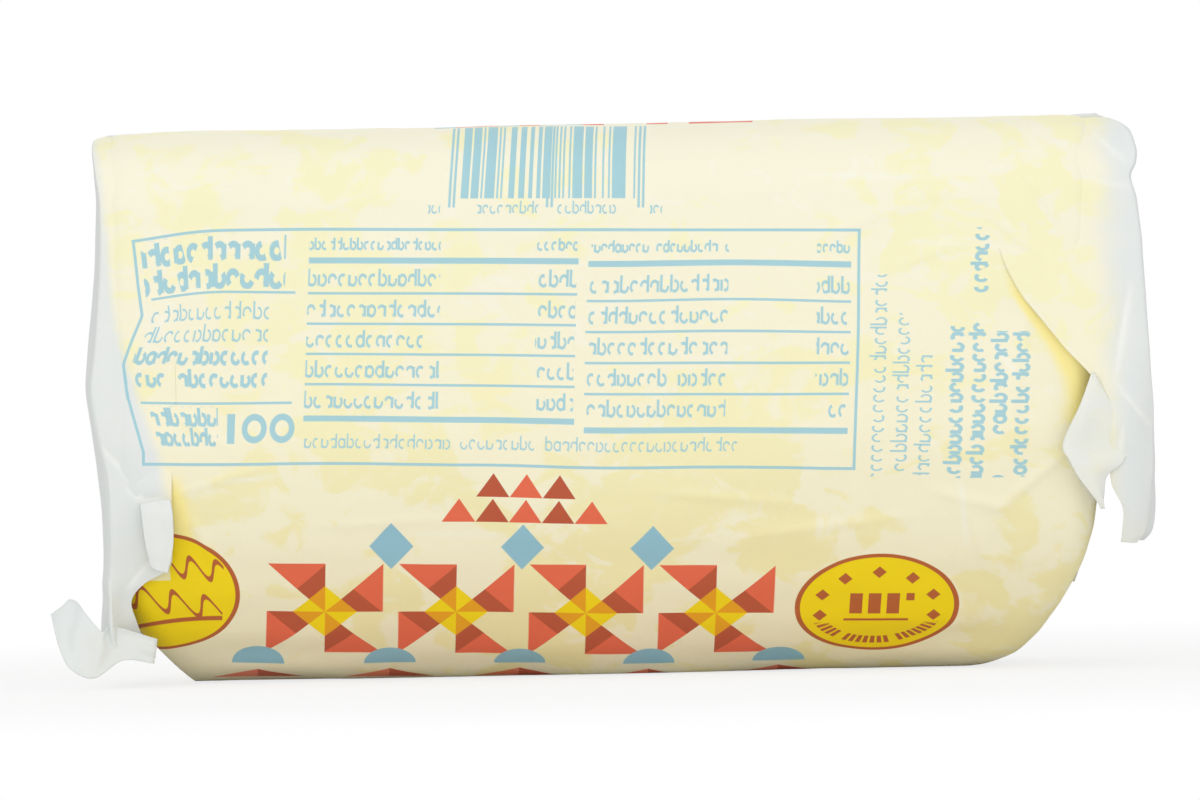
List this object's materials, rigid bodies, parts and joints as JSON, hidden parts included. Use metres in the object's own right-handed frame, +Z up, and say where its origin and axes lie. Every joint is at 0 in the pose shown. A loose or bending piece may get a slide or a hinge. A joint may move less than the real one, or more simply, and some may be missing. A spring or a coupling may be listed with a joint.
{
  "type": "wrapped butter block",
  "caption": "Soft rectangular block of butter in translucent parchment, with a lap on the back and loose folded paper flaps hanging at both ends",
  "frame": {"origin": "Middle of the bounding box's base: the surface that the pack rests on.", "axes": "+X along the pack's length, from the end with the curled tail to the end with the folded ear; +Y from the printed front to the lapped back; +Z up."},
  "size_m": [0.1726, 0.0872, 0.086],
  "materials": {
    "butter": "soft satin, pale yellow",
    "parchment": "satin, translucent, printed"
  },
  "bodies": {
    "root": {"butter": "butter", "wrapper": "parchment"}
  },
  "joints": []
}
